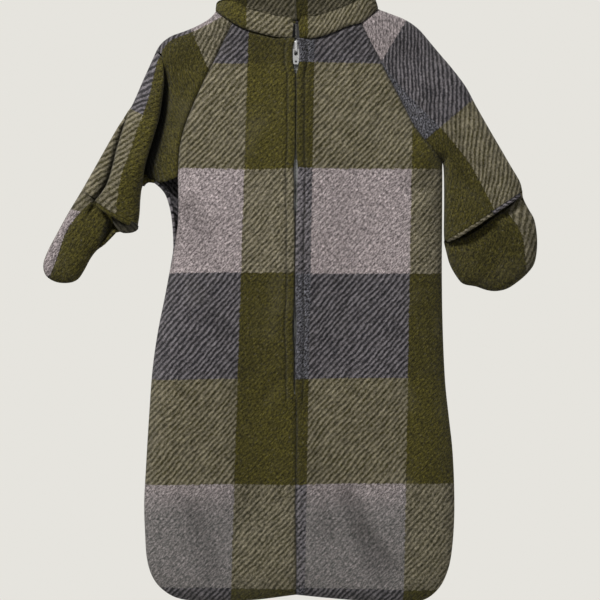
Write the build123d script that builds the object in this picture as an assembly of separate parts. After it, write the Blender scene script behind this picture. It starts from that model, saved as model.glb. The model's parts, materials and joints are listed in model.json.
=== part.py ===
from build123d import *
import os

# A baby sleeping bag in double-faced fleece: a closed sack with raglan sleeves, a stand-up collar,
# a front zip and an envelope mitten on each sleeve. It hangs as it does on a hanger.
# Millimetres. +X is to the right seen from the front, +Y to the back, +Z up. "left" is the -X side.
# The origin is in the middle of the neck opening, level with the tops of the shoulders.

# ---- Driving dimensions ----
FLEECE = 3.0  # thickness of the cloth
DEPTH = 46.0  # of the sack and sleeves, front face to back face
EDGE_ROUND = 19.0  # how far the cloth rounds from the front face to the side seam
SEAM_GAP = 0.3  # between pieces that turn against each other

NECK_HALF = 88.0  # half the width of the neck opening
FRONT_NECK_DIP = 31.0
BACK_NECK_DIP = 4.0
COLLAR_HEIGHT = 24.0
COLLAR_THICK = 5.0
COLLAR_SIDE_RISE = 20.0  # height of the collar's top at the sides

ZIP_BOTTOM = -421.0  # lower end of the opening
ZIP_WINDOW = 6.0  # half the gap between the front edges
FOLD_TOP = (66.0, 22.0)  # where the fold of each open front edge leaves the collar

TAPE_WIDTH = 14.0
TAPE_THICK = 0.6
COIL_WIDTH = 2.8
COIL_THICK = 2.5
COIL_GAP = 0.1  # half the gap between the closed coils
CHAIN_TOP = -16.0
CHAIN_FOOT = 14.0  # height of the stretch at the bottom that stays closed
CHAIN_REST = 4.6  # the lowest coil, above the opening's lower end
TOP_STOP = (3.2, 2.3, 3.6)
BOTTOM_STOP = (6.4, 2.7, 4.0)
SLIDER_LENGTH = 13.0
SLIDER_TOP = -34.0
SLIDER_HALF_TOP = 5.0
SLIDER_HALF_BOTTOM = 4.1
SLIDER_CLEAR = 0.35  # between the plates and the chain
PLATE = 1.1  # thickness of the slider's plates
BRIDGE_HIGH = 3.1
BRIDGE_HALF = 1.75
PULL_LENGTH = 16.0  # from its hinge to its end
PULL_HALF_TOP = 3.9
PULL_HALF_END = 2.7
PULL_THICK = 1.1

HEM_WIDTH = 12.0
HEM_THICK = 2.4
MITTEN_DEPTH = 34.0
MITTEN_ROUND = 12.0

FRONT = -DEPTH / 2
BACK = DEPTH / 2
FAR = 450.0
TOP = 60.0
FLOOR = -700.0

TAPE_FRONT = FRONT + FLEECE + 0.2
TAPE_BACK = TAPE_FRONT + TAPE_THICK
COIL_FRONT = TAPE_FRONT - COIL_THICK
SLIDER_BOTTOM = SLIDER_TOP - SLIDER_LENGTH
SPREAD_START = SLIDER_TOP - SLIDER_LENGTH / 2 + 1.0
SPREAD = 2.8  # how far each coil stands from the middle above the slider
SPREAD_END = SPREAD_START + 10.5

# ---- Outlines seen from the front, as (x, z) ----
BODY = [
    (-73, 50),
    (-139, -185),
    (-136, -264),
    (-162, -418),
    (-167, -556),
    (-154, -648),
    (161, -650),
    (175, -556),
    (163, -418),
    (162, -264),
    (158, -165),
    (75, 50),
]
BODY_ROUNDS = [24, 66, 132, 220, 220, 42, 26, 220, 220, 220, 66, 24]

# Each sleeve runs past its cuff line and is trimmed there.
SLEEVE = {
    "left": [(-50, 13), (-106, -8), (-154, -40), (-233, -198), (-270, -254), (-207, -295), (-171, -239)]
    + [(-165, -189), (-110, -182), (-50, -77)],
    "right": [(50, 13), (121, -7), (172, -59), (250, -196), (286, -251), (205, -305), (168, -250)]
    + [(166, -189), (116, -165), (50, -77)],
}
SLEEVE_ROUNDS = {
    "left": [20, 66, 48, 66, 22, 22, 22, 22, 22, 22],
    "right": [20, 66, 66, 66, 22, 22, 22, 22, 22, 22],
}
CUFF = {"left": ((-233, -198), (-171, -239)), "right": ((250, -196), (168, -250))}

# The region of the sack itself, inside both raglan seams.
TORSO = [
    (-50, TOP),
    (-69, -14),
    (-139, -185),
    (-152, -209),
    (-154, -300),
    (-FAR, -363),
    (-FAR, FLOOR),
    (FAR, FLOOR),
    (FAR, -363),
    (165, -264),
    (164.5, -204),
    (162, -165),
    (71, -14),
    (48, TOP),
]

MITTEN = {
    "left": [(-233, -198), (-276, -267), (-276, -298), (-241, -302), (-220, -267), (-194, -224), (-172, -187)]
    + [(-209, -165)],
    "right": [(250, -196), (268, -233), (269, -284), (248, -307), (209, -309), (176, -304), (166.5, -272)]
    + [(168, -250), (143, -209), (226, -160)],
}
MITTEN_ROUNDS = {
    "left": [44, 44, 15, 18, 66, 44, 11, 11],
    "right": [44, 66, 22, 30, 66, 20, 14, 22, 11, 11],
}


def outline(points, rounds):
    """A flat face in the XZ plane with rounded corners."""
    return make_face(Plane.XZ * FilletPolyline(*points, radius=rounds, close=True))


def slab(points, y0=-FAR, y1=FAR):
    """A straight prism of the polygon from y0 to y1."""
    face = make_face(Plane.XZ * Polyline(*points, close=True))
    return Pos(0, y1, 0) * extrude(face, amount=y1 - y0, dir=(0, -1, 0))


def box(x0, x1, y0, y1, z0, z1):
    return Pos((x0 + x1) / 2, (y0 + y1) / 2, (z0 + z1) / 2) * Box(x1 - x0, y1 - y0, z1 - z0)


def pillow(face, depth, rounding):
    """The face's prism, centred on the XZ plane, with its front and back edges rounded."""
    solid = Pos(0, depth / 2, 0) * extrude(face, amount=depth, dir=(0, -1, 0))
    ends = solid.faces().sort_by(Axis.Y)
    return fillet(ends[0].edges() + ends[-1].edges(), radius=rounding)


def shell_pair(points, rounds, depth, rounding, wall=FLEECE):
    """(outer solid, inner solid) of a hollow cloth form."""
    face = outline(points, rounds)
    inner = offset(face, amount=-wall)
    return pillow(face, depth, rounding), pillow(inner, depth - 2 * wall, rounding - wall)


def below_line(a, b, shift=0.0):
    """Everything past the line from a to b, on the side away from the origin, from shift mm beyond it."""
    (ax, az), (bx, bz) = a, b
    along = Vector(bx - ax, 0, bz - az).normalized()
    away = Vector(-along.Z, 0, along.X)
    if away.Z > 0:
        away = away * -1
    start = Vector(ax, 0, az) + away * shift - along * FAR
    corners = [start, start + along * 2 * FAR]
    corners += [corners[1] + away * FAR, corners[0] + away * FAR]
    return slab([(c.X, c.Z) for c in corners])


def arc_z(x, dip, side):
    """Height at x of the arc that is at height side at the neck's edges and dip lower in the middle."""
    return side - dip * (1 - (x / NECK_HALF) ** 2)


def above_arc(dip, side, reach=NECK_HALF):
    """The polygon above a neckline, up to TOP."""
    steps = 12
    xs = [reach * (2 * i / steps - 1) for i in range(steps + 1)]
    edge = [(x, arc_z(x, dip, side)) for x in xs]
    return edge + [(reach, TOP), (-reach, TOP)]


def fold_region(sign, shift=0.0):
    """The triangle of a front edge that folds open, from its fold line to the middle."""
    slope = FOLD_TOP[0] / (FOLD_TOP[1] - ZIP_BOTTOM)
    reach = slope * (TOP - ZIP_BOTTOM) - shift
    return [(0, ZIP_BOTTOM + shift / slope), (sign * reach, TOP), (0, TOP)]


def write(name, shape):
    """Writes one node."""
    solids = [s for s in shape.solids() if s.volume > 0.01]
    part = solids[0] if len(solids) == 1 else Compound(children=solids)
    part.label = name
    export_step(part, f"parts/{name}.step")


def build_cloth():
    """The sack, sleeves and collar."""
    outer, inner = shell_pair(BODY, BODY_ROUNDS, DEPTH, EDGE_ROUND)
    for side in ("left", "right"):
        sleeve_out, sleeve_in = shell_pair(SLEEVE[side], SLEEVE_ROUNDS[side], DEPTH, EDGE_ROUND)
        past_cuff = below_line(*CUFF[side])
        outer = outer + (sleeve_out - past_cuff)
        inner = inner + (sleeve_in - past_cuff)
    cloth = outer - inner
    front_neck = slab(above_arc(FRONT_NECK_DIP, 0), -FAR, 0)
    back_neck = slab(above_arc(BACK_NECK_DIP, 0), 0, FAR)
    cloth = cloth - front_neck - back_neck

    torso = slab(TORSO)
    sack, sleeves = cloth & torso, cloth - torso
    write("back_panel", sack & box(-FAR, FAR, 0, FAR, FLOOR, TOP))
    front = sack & box(-FAR, FAR, -FAR, 0, FLOOR, TOP)
    front = front - box(-ZIP_WINDOW, ZIP_WINDOW, -FAR, 0, ZIP_BOTTOM, TOP)
    for side, sign in (("left", -1), ("right", 1)):
        half = front & box(min(0, sign * FAR), max(0, sign * FAR), -FAR, 0, FLOOR, TOP)
        write(f"front_{side}_panel", half - slab(fold_region(sign, 0)))
        write(f"front_{side}_edge", half & slab(fold_region(sign, SEAM_GAP)))
        arm = sleeves & box(min(0, sign * FAR), max(0, sign * FAR), -FAR, FAR, FLOOR, TOP)
        write(f"sleeve_{side}", arm)
        write(f"sleeve_{side}_hem", hem_band(side))
    build_collar()


def hem_band(side):
    """The turned-up hem inside the end of a sleeve."""
    face = outline(SLEEVE[side], SLEEVE_ROUNDS[side])
    play = 0.1
    outside = pillow(offset(face, amount=-FLEECE - play), DEPTH - 2 * (FLEECE + play), EDGE_ROUND - FLEECE)
    depth = FLEECE + HEM_THICK
    inside = pillow(offset(face, amount=-depth), DEPTH - 2 * depth, EDGE_ROUND - depth)
    band = outside - inside - below_line(*CUFF[side])
    band = band & below_line(*CUFF[side], shift=-HEM_WIDTH)
    return band.solids().sort_by(Axis.Z)[0]


def build_collar():
    """A doubled band round the neck: its front ends fold open with the front edges."""
    plan = SlotOverall(2 * NECK_HALF, DEPTH)
    hole = SlotOverall(2 * (NECK_HALF - COLLAR_THICK), DEPTH - 2 * COLLAR_THICK)
    ring = Pos(0, 0, -TOP) * extrude(plan - hole, amount=2 * TOP)
    lift = COLLAR_SIDE_RISE
    front_band = slab(above_arc(FRONT_NECK_DIP, SEAM_GAP), -FAR, 0) - slab(
        above_arc(FRONT_NECK_DIP + lift - COLLAR_HEIGHT, lift), -FAR, 0
    )
    back_band = slab(above_arc(BACK_NECK_DIP, SEAM_GAP), 0, FAR) - slab(
        above_arc(BACK_NECK_DIP - COLLAR_HEIGHT + lift, lift), 0, FAR
    )
    front = (ring & front_band) - box(-ZIP_WINDOW, ZIP_WINDOW, -FAR, 0, -TOP, TOP)
    pocket = TAPE_WIDTH + 0.4
    front = front - box(-pocket, pocket, TAPE_FRONT - 0.1, TAPE_BACK + 0.1, -TOP, CHAIN_TOP + 0.3)
    folds = slab(fold_region(-1)) + slab(fold_region(1))
    write("collar_back", (ring & back_band) + (front - folds))
    for side, sign in (("left", -1), ("right", 1)):
        write(f"collar_{side}", front & slab(fold_region(sign, SEAM_GAP)))


def build_mittens():
    """Envelope mittens: a pouch in two halves that hinges on the back of each cuff."""
    middle = (DEPTH - MITTEN_DEPTH) / 2
    for side in ("left", "right"):
        outer, inner = shell_pair(MITTEN[side], MITTEN_ROUNDS[side], MITTEN_DEPTH, MITTEN_ROUND)
        pouch = Pos(0, middle, 0) * (outer - inner)
        pouch = pouch & below_line(*CUFF[side], shift=2 * SEAM_GAP)
        write(f"mitten_{side}_front", pouch & box(-FAR, FAR, -FAR, middle, -FAR, TOP))
        write(f"mitten_{side}_back", pouch & box(-FAR, FAR, middle, FAR, -FAR, TOP))


def coil_bar(sign, z0, z1):
    """One closed coil from z0 up to the slider, then parting from the other."""
    inside, outside = COIL_GAP, COIL_GAP + COIL_WIDTH
    points = [(inside, z0), (outside, z0)]
    if z1 > SPREAD_START:
        points += [(outside, SPREAD_START), (outside + SPREAD, SPREAD_END), (outside + SPREAD, z1)]
        points += [(inside + SPREAD, z1), (inside + SPREAD, SPREAD_END), (inside, SPREAD_START)]
    else:
        points += [(outside, z1), (inside, z1)]
    return slab([(sign * x, z) for x, z in points], COIL_FRONT, TAPE_FRONT)


def build_zip():
    """Tapes, coils and stops. Above the slider the two halves stand apart."""
    foot = ZIP_BOTTOM + CHAIN_FOOT
    feet = []
    for side, sign in (("left", -1), ("right", 1)):
        edge, wide = COIL_GAP + 0.5, COIL_GAP + TAPE_WIDTH
        points = [(edge, ZIP_BOTTOM - 8), (wide, ZIP_BOTTOM - 8), (wide, CHAIN_TOP), (edge + SPREAD, CHAIN_TOP)]
        points += [(edge + SPREAD, SPREAD_END), (edge, SPREAD_START)]
        tape = slab([(sign * x, z) for x, z in points], TAPE_FRONT, TAPE_BACK)
        write(f"zip_tape_{side}", tape & slab(fold_region(sign, SEAM_GAP)))
        write(f"zip_tape_foot_{side}", tape - slab(fold_region(sign, 0)))
        write(f"zip_coil_{side}", coil_bar(sign, foot + 0.2, CHAIN_TOP - 6))
        feet.append(coil_bar(sign, ZIP_BOTTOM + CHAIN_REST, foot))
        middle = sign * (COIL_GAP + COIL_WIDTH / 2 + SPREAD)
        stop = Pos(middle, TAPE_FRONT - 1.2, CHAIN_TOP - 3.6) * Box(*TOP_STOP)
        write(f"zip_top_stop_{side}", fillet(stop.edges().filter_by(Axis.Z), 0.7))
    write("zip_coil_foot", Compound(children=[s for f in feet for s in f.solids()]))
    stop = Pos(0, TAPE_FRONT - 1.4, ZIP_BOTTOM + 2.4) * Box(*BOTTOM_STOP)
    write("zip_bottom_stop", fillet(stop.edges().filter_by(Axis.Z), 0.9))


def slider_plate(y0, y1, shrink=0.0):
    """The slider's heart-shaped plate between two depths."""
    wide, narrow = SLIDER_HALF_TOP - shrink, SLIDER_HALF_BOTTOM - shrink
    points = [(-narrow, SLIDER_BOTTOM), (narrow, SLIDER_BOTTOM), (wide, SLIDER_TOP), (-wide, SLIDER_TOP)]
    plate = slab(points, y0, y1)
    return fillet(plate.edges().filter_by(Axis.Y), 1.2 - shrink / 2)


def build_slider():
    """Body, bridge, lock spring and pull tab."""
    front_plate = COIL_FRONT - SLIDER_CLEAR
    back_plate = TAPE_BACK + SLIDER_CLEAR
    face = front_plate - PLATE
    body = slider_plate(face, front_plate) + slider_plate(back_plate, back_plate + PLATE)
    rim = slider_plate(front_plate, back_plate) - slider_plate(front_plate - 1, back_plate + 1, 0.7)
    slot = 0.25
    rim = rim - box(-FAR, FAR, TAPE_FRONT - slot, TAPE_BACK + slot, SLIDER_BOTTOM - 1, SLIDER_TOP + 1)
    mouth = 0.9
    rim = rim - box(-FAR, FAR, -FAR, 0, SLIDER_TOP - mouth, SLIDER_TOP + 1)
    rim = rim - box(-FAR, FAR, -FAR, 0, SLIDER_BOTTOM - 1, SLIDER_BOTTOM + mouth)
    post_top, post_foot = SLIDER_TOP - 0.1, SLIDER_TOP - 3.0
    post = [(-0.2, post_foot), (0.2, post_foot), (0.8, post_top), (-0.8, post_top)]
    write("zip_slider_body", body + rim + slab(post, front_plate, back_plate))

    top, low = SLIDER_TOP - 1.0, SLIDER_BOTTOM + 0.2
    wall, foot = 0.9, 1.3
    arch = box(-BRIDGE_HALF, BRIDGE_HALF, face - BRIDGE_HIGH, face, low, top)
    arch = fillet(arch.edges().filter_by(Axis.X).sort_by(Axis.Y)[:2], 1.5)
    arch = fillet(arch.edges().filter_by(Axis.Y), 1.2)
    tunnel = box(-FAR, FAR, face - BRIDGE_HIGH + wall, face + 1, low + foot, top - foot)
    write("zip_slider_bridge", arch - tunnel)
    write("zip_lock_spring", box(-0.5, 0.5, face - 0.5, face, low + 5.0, top - foot - 0.5))

    hinge_y, hinge_z = face - (BRIDGE_HIGH - wall) / 2, low + foot + 1.0
    end_z, bar = hinge_z - PULL_LENGTH, PULL_THICK / 2
    slot_half, slot_end = BRIDGE_HALF + 0.2, hinge_z - 6.5
    half = [(PULL_HALF_TOP, hinge_z + bar), (PULL_HALF_TOP - 0.1, slot_end), (PULL_HALF_END, end_z)]
    mirrored = [(-x, z) for x, z in reversed(half)]
    tab = slab(half + mirrored, hinge_y - bar, hinge_y + bar)
    tab = fillet(tab.edges().filter_by(Axis.Y).sort_by(Axis.Z)[:2], 1.6)
    slot = box(-slot_half, slot_half, -FAR, 0, slot_end, hinge_z - bar)
    tab = tab - fillet(slot.edges().filter_by(Axis.Y).sort_by(Axis.Z)[:2], 1.4)
    hole = Pos(0, hinge_y, end_z + 3.0) * Rot(90, 0, 0) * Cylinder(1.15, 4 * PULL_THICK)
    write("zip_pull", tab - hole)


def build_labels():
    """Blank woven labels on the inside: one at the nape, one at the left side seam."""
    inside_back = BACK - FLEECE - 0.2
    write("neck_label", box(-17, 17, inside_back - 0.5, inside_back, -26, -8))
    write("care_label", box(-124, -100, inside_back - 0.5, inside_back, -506, -462))


os.makedirs("parts", exist_ok=True)
build_cloth()
build_mittens()
build_zip()
build_slider()
build_labels()
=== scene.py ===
import json
import math

import bpy
import numpy as np
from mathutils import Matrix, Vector
from mathutils.geometry import delaunay_2d_cdt
from mathutils.kdtree import KDTree


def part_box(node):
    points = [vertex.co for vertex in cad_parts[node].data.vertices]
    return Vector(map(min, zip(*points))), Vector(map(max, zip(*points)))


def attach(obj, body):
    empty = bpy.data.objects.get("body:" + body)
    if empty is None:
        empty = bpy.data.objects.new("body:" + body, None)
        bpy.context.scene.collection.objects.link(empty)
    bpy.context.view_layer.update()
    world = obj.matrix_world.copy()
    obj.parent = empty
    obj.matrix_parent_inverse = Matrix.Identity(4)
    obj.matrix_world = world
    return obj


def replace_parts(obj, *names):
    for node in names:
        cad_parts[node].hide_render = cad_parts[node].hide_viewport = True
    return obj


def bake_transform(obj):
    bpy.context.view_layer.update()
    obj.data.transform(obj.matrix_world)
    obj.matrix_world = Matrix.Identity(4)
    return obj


# A hanging baby sleeping bag. Lengths are in millimetres in this script and become metres in to_mesh().
# x is to the right seen from the front, y to the back, z up. "left" is the -x side.
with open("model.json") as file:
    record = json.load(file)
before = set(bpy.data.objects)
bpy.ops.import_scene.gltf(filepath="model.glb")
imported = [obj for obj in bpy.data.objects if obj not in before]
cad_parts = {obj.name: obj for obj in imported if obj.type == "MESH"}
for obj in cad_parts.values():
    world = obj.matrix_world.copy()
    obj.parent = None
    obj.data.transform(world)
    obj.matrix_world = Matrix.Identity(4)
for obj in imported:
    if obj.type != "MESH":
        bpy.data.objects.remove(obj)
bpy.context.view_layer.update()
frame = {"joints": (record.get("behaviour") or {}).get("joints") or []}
MM = 0.001


def node_box(name):
    """Lowest and highest corner of a CAD node, in millimetres."""
    low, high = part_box(name)
    return np.array(low) / MM, np.array(high) / MM


JOINTS = {j["name"]: j for j in frame["joints"]}
SLIDER_LOW, SLIDER_HIGH = node_box("zip_slider_body")
TAPE_LOW, TAPE_HIGH = node_box("zip_tape_left")
COIL_LOW = node_box("zip_coil_left")[0]
ZIP_FOOT = node_box("zip_bottom_stop")[0][2]
CLOTH = 3.0  # thickness of the fleece

# ---- Outlines seen from the front ----
LEFT_ARM = [
    (-88, 0), (-96, -8), (-108, -15), (-122, -21), (-138, -27), (-150, -37), (-159, -55),
    (-168, -75), (-181, -104), (-195, -125), (-206, -144), (-224, -176), (-236, -197),
]
LEFT_MITTEN = [
    (-236, -197), (-251, -222), (-263, -244), (-273, -263), (-278, -278), (-275, -290),
    (-264, -297), (-250, -298), (-240, -294), (-233, -284), (-226, -271), (-219, -262),
    (-211, -256), (-199, -243),
]
LEFT_INNER = [(-174, -236), (-172, -222), (-171, -205), (-169, -192), (-164, -187), (-156, -188)]
LEFT_SIDE = [(-156, -188), (-148, -195), (-142, -205), (-137, -226), (-135, -258), (-138, -280)]
LEFT_SACK = [
    (-138, -280), (-144, -312), (-152, -352), (-158, -395), (-162, -450), (-165, -500),
    (-167, -540), (-166, -574), (-164, -601), (-158, -621), (-147, -635), (-129, -645),
    (-100, -648), (-50, -647), (0, -641),
]
RIGHT_SACK = [
    (0, -641), (40, -645), (90, -649), (120, -650), (142, -646), (157, -634), (166, -617),
    (171, -596), (174, -560), (174, -520), (172, -480), (168, -444), (164, -405), (161.5, -350),
    (160.5, -290), (160.8, -230), (161, -190), (161, -172), (161, -165),
]
RIGHT_INNER = [(161, -165), (162.2, -172), (162.8, -190), (162.8, -215), (162.6, -240), (163, -252)]
RIGHT_MITTEN = [
    (163, -252), (165, -262), (169, -277), (176, -290), (184, -299), (198, -302), (210, -306),
    (221, -307), (233, -304), (245, -296), (255, -287), (262, -277), (265, -262), (265, -245),
    (262, -228), (256, -217), (250, -205), (249, -197),
]
RIGHT_ARM = [
    (249, -197), (246, -186), (236, -169), (225, -150), (211, -126), (198, -103), (186, -81),
    (170, -60), (158, -46), (148, -34), (135, -19), (121, -9), (104, -2), (90, 3),
]

FRONT_RAGLAN_LEFT = [
    (-69, -14), (-80, -36), (-90, -57), (-100, -76), (-119, -120), (-127, -150), (-129, -182),
]
FRONT_RAGLAN_RIGHT = [(71, -14), (88, -48), (115, -99), (129, -126), (146, -148), (161, -165)]
BACK_RAGLAN_LEFT = [(-71, -4), (-100, -62), (-128, -120), (-156, -188)]
BACK_RAGLAN_RIGHT = [(73, -2), (104, -62), (132, -116), (161, -165)]
SIDE_SEAM_LEFT = [(-129, -182), (-129, -226), (-133, -256), (-138, -280)]
COLLAR_SEAM_LEFT = [
    (-88, 0), (-80, -6), (-69, -14), (-57, -20.5), (-43, -25), (-26, -29.5), (-12, -31), (0, -31.5),
]
COLLAR_SEAM_RIGHT = [
    (0, -31.5), (12, -32), (24, -30.3), (41, -25), (57, -18), (71, -14), (81, -6), (90, 3),
]
COLLAR_SEAM_BACK = [(-88, 0), (-71, -4), (-40, -6), (0, -7), (40, -5), (73, -2), (90, 3)]
LEFT_HEM = [(-174, -236), (-189, -227.5), (-205, -218.5), (-220, -208)]
LEFT_CUFF = [(-174, -236), (-236, -197)]
RIGHT_HEM = [(163, -252), (190, -236), (220, -216), (249, -197)]
ZIP_END = -421.0


def bell(d, width):
    """1 at d = 0, falling off smoothly on both sides."""
    return np.exp(-((d / width) ** 2))


def run_along(line):
    """The length along a line from its start to each of its points."""
    return np.concatenate([[0], np.cumsum(np.linalg.norm(np.diff(line, axis=0), axis=1))])


def smooth_curve(points, step=3.5):
    """A smooth curve through the points (Catmull-Rom), as points about step apart."""
    p = np.array(points, float)
    if len(p) == 2:
        dense = np.linspace(p[0], p[1], 200)
    else:
        ext = np.vstack([2 * p[0] - p[1], p, 2 * p[-1] - p[-2]])
        t = np.linspace(0, 1, 40, endpoint=False)[:, None]
        parts = []
        for a, b, c, d in zip(ext[:-3], ext[1:-2], ext[2:-1], ext[3:]):
            square = 2 * a - 5 * b + 4 * c - d
            cube = 3 * b - a - 3 * c + d
            parts.append(0.5 * (2 * b + (c - a) * t + square * t**2 + cube * t**3))
        dense = np.vstack(parts + [p[-1:]])
    along = run_along(dense)
    count = max(2, int(round(along[-1] / step)) + 1)
    at = np.linspace(0, along[-1], count)
    return np.stack([np.interp(at, along, dense[:, k]) for k in range(dense.shape[1])], axis=1)


def backwards(points):
    """The smooth curve through the points, from its end and without that end, to go on a loop."""
    return smooth_curve(points)[::-1][1:]


def distance(points, line):
    """(distance, side, length along) from each point to a polyline; the side is 1 on its left, -1 beyond."""
    a, b = line[:-1], line[1:]
    ab = b - a
    best = np.full(len(points), 1e9)
    side = np.zeros(len(points))
    run = np.zeros(len(points))
    lengths = np.concatenate([[0], np.cumsum(np.linalg.norm(ab, axis=1))])
    for k in range(len(a)):
        ap = points - a[k]
        t = np.clip((ap @ ab[k]) / (ab[k] @ ab[k]), 0, 1)
        off = ap - t[:, None] * ab[k]
        d = np.linalg.norm(off, axis=1)
        nearer = d < best
        best[nearer] = d[nearer]
        side[nearer] = np.sign(ab[k][0] * ap[nearer, 1] - ab[k][1] * ap[nearer, 0])
        run[nearer] = lengths[k] + t[nearer] * np.linalg.norm(ab[k])
    return best, side, run


def step01(x, low, high):
    t = np.clip((x - low) / (high - low), 0, 1)
    return t * t * (3 - 2 * t)


def waves(points, wavelength, seed):
    """A smooth random field between about -1 and 1."""
    rng = np.random.default_rng(seed)
    total = np.zeros(len(points))
    for _ in range(7):
        angle, phase = rng.uniform(0, 2 * math.pi, 2)
        size = wavelength * rng.uniform(0.7, 1.5)
        along = points @ np.array([math.cos(angle), math.sin(angle)])
        total += np.sin(2 * math.pi * along / size + phase)
    return total / 3.2


LEFT_OUTLINES = (LEFT_ARM, LEFT_MITTEN, LEFT_INNER, LEFT_SIDE, LEFT_SACK)
RIGHT_OUTLINES = (RIGHT_SACK, RIGHT_INNER, RIGHT_MITTEN, RIGHT_ARM)
SILHOUETTE = [smooth_curve(c) for c in LEFT_OUTLINES + RIGHT_OUTLINES]
RAGLAN = {"left": smooth_curve(FRONT_RAGLAN_LEFT), "right": smooth_curve(FRONT_RAGLAN_RIGHT)}
LEFT_FOLD = [
    (-147, -48), (-144, -73), (-146, -96), (-150, -120), (-159, -150), (-165, -171), (-169, -192),
]
LEFT_FOLD = smooth_curve(LEFT_FOLD)
LEFT_CREASE = [(-181, -104), (-187, -120), (-196, -150), (-204, -182), (-211, -197), (-220, -208)]
LEFT_CREASE = smooth_curve(LEFT_CREASE)
LEFT_TURN = smooth_curve([(-212, -200), (-236, -220), (-252, -243), (-263, -273), (-271, -294)])
LEFT_LOBE = smooth_curve([(-202, -215), (-205.5, -225), (-211, -240), (-218.5, -262)])

# Soft ridges (+) and hollows (-) in the cloth: two ends, half width, height.
FRONT_FOLDS = [
    ((-128, -190), (-70, -236), 11, 2.6),
    ((-128, -205), (-84, -262), 10, -2.2),
    ((155, -172), (96, -150), 12, 2.8),
    ((156, -186), (110, -196), 11, -2.4),
    ((152, -200), (120, -236), 10, 2.2),
    ((-110, -330), (-128, -560), 26, 2.4),
    ((96, -300), (116, -600), 30, 2.2),
    ((-56, -330), (-62, -610), 22, -2.0),
    ((48, -120), (58, -420), 24, -1.6),
    ((-14, -385), (-48, -410), 7, 1.5),
    ((-14, -402), (-44, -432), 6, -1.3),
    ((-12, -420), (-36, -452), 6, 1.2),
    ((-20, -60), (-30, -300), 16, 1.2),
    ((44, -500), (104, -644), 13, -4.6),
    ((92, -540), (150, -640), 12, 3.2),
    ((62, -560), (128, -630), 9, -2.6),
    ((-118, -520), (-84, -644), 14, -3.4),
    ((-64, -560), (-30, -640), 13, 2.4),
    ((16, -470), (40, -600), 12, -2.4),
    ((-104, -300), (-70, -380), 12, -1.6),
    ((-126, -196), (-100, -292), 15, -2.2),
    ((128, -420), (150, -520), 12, 2.0),
    ((196, -110), (222, -190), 10, 1.4),
    ((172, -92), (184, -206), 10, -2.2),
    ((150, -70), (152, -150), 8, -1.6),
]
BACK_FOLDS = [
    ((-130, -196), (-60, -236), 14, 3.0),
    ((134, -180), (60, -226), 14, 3.0),
    ((-90, -300), (-106, -600), 28, 2.6),
    ((84, -300), (96, -600), 28, 2.6),
    ((0, -60), (6, -330), 30, -2.4),
    ((-30, -380), (-20, -620), 26, -2.0),
    ((-190, -110), (-222, -190), 10, 1.6),
    ((190, -110), (222, -190), 10, 1.6),
]


def edge_distance(points):
    return np.min([distance(points, line)[0] for line in SILHOUETTE], axis=0)


def arm_share(points):
    """0 in the sack, 1 well out along a sleeve."""
    share = np.zeros(len(points))
    for side, sign in (("left", 1), ("right", -1)):
        top = points[:, 1] > -330
        d, s, _ = distance(points, RAGLAN[side])
        outside = d * s * -sign
        share = np.maximum(share, np.where(top & (points[:, 0] * -sign > 40), step01(outside, -30, 35), 0))
    return share


def cushion(points, depth_sack, depth_arm):
    """How far the cloth stands from the middle plane: nothing at the outline, rounding to its full depth."""
    arm = arm_share(points)
    foot = step01(-points[:, 1], 440, 660)
    depth = depth_sack * (1 - arm) * (1 - 0.36 * foot) + depth_arm * arm
    reach = 36 * (1 - arm) + 25 * arm
    t = np.clip(edge_distance(points) / reach, 0, 1)
    return depth * np.sqrt(1 - (1 - t) ** 2)


def zip_middle(z):
    """Where the slit lies across the coil: the cloth is not stitched quite straight."""
    return -1.6 * step01(-z, 70, 420) * step01(z, ZIP_END - 60, ZIP_END)


def folds(points, table):
    total = np.zeros(len(points))
    for start, end, half, height in table:
        d, _, run = distance(points, np.array([start, end], float))
        length = math.dist(start, end)
        ends = step01(run, 0, 0.25 * length) * (1 - step01(run, 0.75 * length, length))
        total += height * ends * bell(d, half)
    return total


def zip_gap(z):
    """Half the width of the slit between the front edges."""
    gap = 0.32 + 0.15 * np.sin(z / 23.0) ** 2
    for middle, half, wide in ((-176, 15, 1.7), (-210, 13, 1.4), (-347, 20, 1.7)):
        gap = gap + wide * bell(z - middle, half)
    middle = SLIDER_LOW[2] - 4
    gap = gap + 3.1 * np.exp(-((np.abs(z - middle) / 15.5) ** 4))
    return np.where(z < ZIP_END, 0.0, gap)


# How far, in millimetres, the cloth stands out (or is drawn in) at each feature.
SACK_DEPTH = 21.5
ARM_DEPTH = 15.0
SEAM_DIP = 2.8
ZIP_PUFF = 4.6
SLIDER_LIFT = 1.7
EDGE_ROLL = 1.7
EDGE_RADIUS = 4.0
STITCH_DIP = 1.9
CENTRE_DIP = 2.6


def seam_dip(points, lines, half=1.9):
    dip = np.zeros(len(points))
    for line in lines:
        d, _, _ = distance(points, line)
        dip = np.maximum(dip, bell(d, half))
    return SEAM_DIP * dip


FRONT_SEAMS = [
    RAGLAN["left"],
    RAGLAN["right"],
    smooth_curve(SIDE_SEAM_LEFT),
    smooth_curve(COLLAR_SEAM_LEFT),
    smooth_curve(COLLAR_SEAM_RIGHT),
]
BACK_SEAMS = [smooth_curve(c) for c in (BACK_RAGLAN_LEFT, BACK_RAGLAN_RIGHT, COLLAR_SEAM_BACK)]
STITCH_LINE = 9.0


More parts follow.
